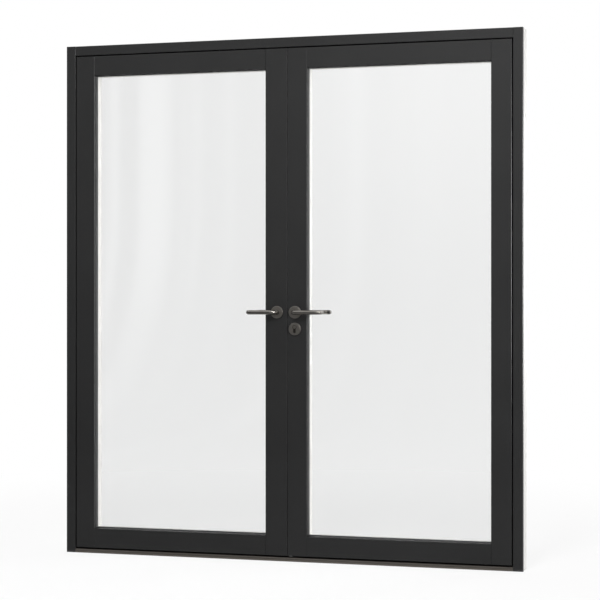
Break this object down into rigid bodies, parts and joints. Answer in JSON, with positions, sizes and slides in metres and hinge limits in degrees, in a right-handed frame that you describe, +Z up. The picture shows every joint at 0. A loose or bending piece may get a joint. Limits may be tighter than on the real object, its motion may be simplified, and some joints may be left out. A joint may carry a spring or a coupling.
{
  "type": "french doors",
  "caption": "Pair of glazed french doors in a frame with a low threshold; dark clad outside, white timber inside, opening inwards, with lever handles, shoot bolts and a key lock.",
  "frame": {"origin": "middle of the frame's base, at mid-depth", "axes": "+X to the right seen from outside, +Y into the room, +Z up"},
  "size_m": [1.988, 0.193, 2.188],
  "materials": {
    "cladding": "matt powder coat",
    "timber": "white satin paint",
    "threshold": "anodised",
    "glass": "clear",
    "rubber": "matt",
    "spacer": "matt",
    "handle_steel": "satin",
    "zinc_steel": "zinc plated"
  },
  "bodies": {
    "frame": {"left_jamb": "timber", "right_jamb": "timber", "head": "timber", "threshold": "threshold", "left_jamb_cladding": "cladding", "right_jamb_cladding": "cladding", "head_cladding": "cladding", "frame_seal": "rubber", "bolt_keeps": "zinc_steel", "frame_knuckles": "zinc_steel", "hinge_pins": "zinc_steel"},
    "left_leaf": {"left_hinge_stile": "timber", "left_meeting_stile": "timber", "left_top_rail": "timber", "left_bottom_rail": "timber", "left_hinge_stile_cladding": "cladding", "left_meeting_stile_cladding": "cladding", "left_top_rail_cladding": "cladding", "left_bottom_rail_cladding": "cladding", "left_glass": "glass", "left_spacer": "spacer", "left_gaskets": "rubber", "left_setting_blocks": "rubber", "left_knuckles": "zinc_steel", "left_forend": "zinc_steel", "left_gear_case": "zinc_steel", "left_roses": "handle_steel", "left_deadbolt_keep": "zinc_steel"},
    "right_leaf": {"right_hinge_stile": "timber", "right_meeting_stile": "timber", "right_top_rail": "timber", "right_bottom_rail": "timber", "right_hinge_stile_cladding": "cladding", "right_meeting_stile_cladding": "cladding", "right_top_rail_cladding": "cladding", "right_bottom_rail_cladding": "cladding", "right_glass": "glass", "right_spacer": "spacer", "right_gaskets": "rubber", "right_setting_blocks": "rubber", "right_knuckles": "zinc_steel", "right_forend": "zinc_steel", "right_gear_case": "zinc_steel", "right_roses": "handle_steel", "cylinder_body": "handle_steel"},
    "left_handle": {"left_outer_lever": "handle_steel", "left_inner_lever": "handle_steel", "left_spindle": "zinc_steel", "left_pinion": "zinc_steel"},
    "right_handle": {"right_outer_lever": "handle_steel", "right_inner_lever": "handle_steel", "right_spindle": "zinc_steel", "right_pinion": "zinc_steel"},
    "left_top_bolt": {"left_top_rod": "zinc_steel"},
    "left_bottom_bolt": {"left_bottom_rod": "zinc_steel"},
    "right_top_bolt": {"right_top_rod": "zinc_steel"},
    "right_bottom_bolt": {"right_bottom_rod": "zinc_steel"},
    "key_plug": {"cylinder_plug": "handle_steel", "thumb_turn": "handle_steel"},
    "deadbolt": {"deadbolt": "zinc_steel"}
  },
  "joints": [
    {"name": "left_swing", "type": "hinge", "parent": "frame", "child": "left_leaf", "pos_m": [-0.9625, 0.053, 1.094], "axis": [0, 0, 1], "range_deg": [0, 105]},
    {"name": "left_handle_turn", "type": "hinge", "parent": "left_leaf", "child": "left_handle", "pos_m": [-0.039, 0, 1.04], "axis": [0, -1, 0], "range_deg": [0, 90]},
    {"name": "left_top_bolt_slide", "type": "slide", "parent": "left_leaf", "child": "left_top_bolt", "axis": [0, 0, 1], "range_m": [0, 0.0206]},
    {"name": "left_bottom_bolt_slide", "type": "slide", "parent": "left_leaf", "child": "left_bottom_bolt", "axis": [0, 0, -1], "range_m": [0, 0.0206]},
    {"name": "right_swing", "type": "hinge", "parent": "frame", "child": "right_leaf", "pos_m": [0.9625, 0.053, 1.094], "axis": [0, 0, -1], "range_deg": [0, 105]},
    {"name": "right_handle_turn", "type": "hinge", "parent": "right_leaf", "child": "right_handle", "pos_m": [0.039, 0, 1.04], "axis": [0, 1, 0], "range_deg": [0, 90]},
    {"name": "right_top_bolt_slide", "type": "slide", "parent": "right_leaf", "child": "right_top_bolt", "axis": [0, 0, 1], "range_m": [0, 0.0206]},
    {"name": "right_bottom_bolt_slide", "type": "slide", "parent": "right_leaf", "child": "right_bottom_bolt", "axis": [0, 0, -1], "range_m": [0, 0.0206]},
    {"name": "key_turn", "type": "hinge", "parent": "right_leaf", "child": "key_plug", "pos_m": [0.039, 0, 0.978], "axis": [0, 1, 0], "range_deg": [0, 360]},
    {"name": "deadbolt_slide", "type": "slide", "parent": "right_leaf", "child": "deadbolt", "axis": [-1, 0, 0], "range_m": [0, 0.0201]}
  ],
  "couplings": [
    {"joint": "left_top_bolt_slide", "follows": "left_handle_turn", "m_per_rad": 0.013},
    {"joint": "left_bottom_bolt_slide", "follows": "left_handle_turn", "m_per_rad": 0.013},
    {"joint": "right_top_bolt_slide", "follows": "right_handle_turn", "m_per_rad": 0.013},
    {"joint": "right_bottom_bolt_slide", "follows": "right_handle_turn", "m_per_rad": 0.013},
    {"joint": "deadbolt_slide", "follows": "key_turn", "m_per_rad": 0.0031831}
  ]
}
